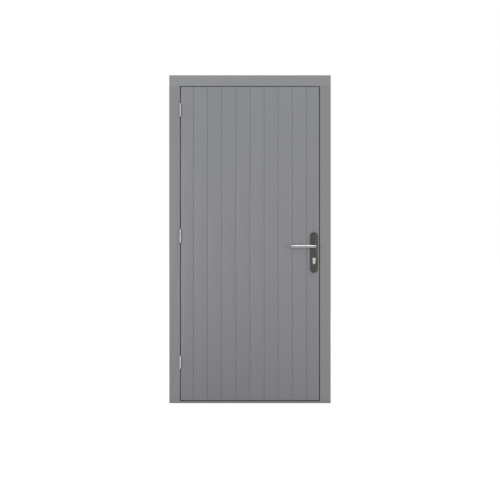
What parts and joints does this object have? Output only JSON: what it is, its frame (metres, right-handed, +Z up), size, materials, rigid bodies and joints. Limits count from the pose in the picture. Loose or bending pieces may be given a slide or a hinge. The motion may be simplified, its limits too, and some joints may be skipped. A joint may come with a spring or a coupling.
{
  "type": "hardwood door",
  "caption": "Painted hardwood door set: boarded leaf on butt hinges in a rebated frame with a sill, a long back plate, a round-bar lever handle and a key cylinder.",
  "frame": {"origin": "under the middle of the sill, halfway through the frame's depth", "axes": "+X to the right seen from outside, +Y into the building, +Z up"},
  "size_m": [1.09, 0.172, 2.213],
  "materials": {
    "painted_hardwood": "satin grey paint",
    "hinge_steel": "satin",
    "plate_metal": "dark brushed",
    "lever_steel": "satin",
    "lock_steel": "satin",
    "cylinder_nickel": "satin nickel"
  },
  "bodies": {
    "frame": {"hinge_jamb": "painted_hardwood", "lock_jamb": "painted_hardwood", "frame_head": "painted_hardwood", "frame_sill": "painted_hardwood", "strike_plate": "lock_steel", "hinge_top_frame_flap": "hinge_steel", "hinge_top_pin": "hinge_steel", "hinge_middle_frame_flap": "hinge_steel", "hinge_middle_pin": "hinge_steel", "hinge_bottom_frame_flap": "hinge_steel", "hinge_bottom_pin": "hinge_steel"},
    "leaf": {"face_board_01": "painted_hardwood", "face_board_02": "painted_hardwood", "face_board_03": "painted_hardwood", "face_board_04": "painted_hardwood", "face_board_05": "painted_hardwood", "face_board_06": "painted_hardwood", "face_board_07": "painted_hardwood", "face_board_08": "painted_hardwood", "face_board_09": "painted_hardwood", "face_board_10": "painted_hardwood", "hinge_stile": "painted_hardwood", "lock_stile": "painted_hardwood", "top_rail": "painted_hardwood", "lock_rail": "painted_hardwood", "bottom_rail": "painted_hardwood", "upper_brace": "painted_hardwood", "lower_brace": "painted_hardwood", "hinge_top_leaf_flap": "hinge_steel", "hinge_middle_leaf_flap": "hinge_steel", "hinge_bottom_leaf_flap": "hinge_steel", "mortise_lock": "lock_steel", "latch_bolt": "lock_steel", "dead_bolt": "lock_steel", "outer_plate": "plate_metal", "inner_plate": "plate_metal", "cylinder_body": "cylinder_nickel", "cylinder_plugs": "cylinder_nickel"},
    "lever": {"outer_lever": "lever_steel", "inner_lever": "lever_steel", "spindle": "lever_steel"}
  },
  "joints": [
    {"name": "leaf_swing", "type": "hinge", "parent": "frame", "child": "leaf", "pos_m": [-0.4695, -0.0408, 1.1278], "axis": [0, 0, -1], "range_deg": [0, 170]},
    {"name": "lever_turn", "type": "hinge", "parent": "leaf", "child": "lever", "pos_m": [0.431, -0.0135, 1.057], "axis": [0, -1, 0], "range_deg": [0, 45], "stiffness_Nm_per_rad": 1.5, "springref_deg": -34.38}
  ]
}
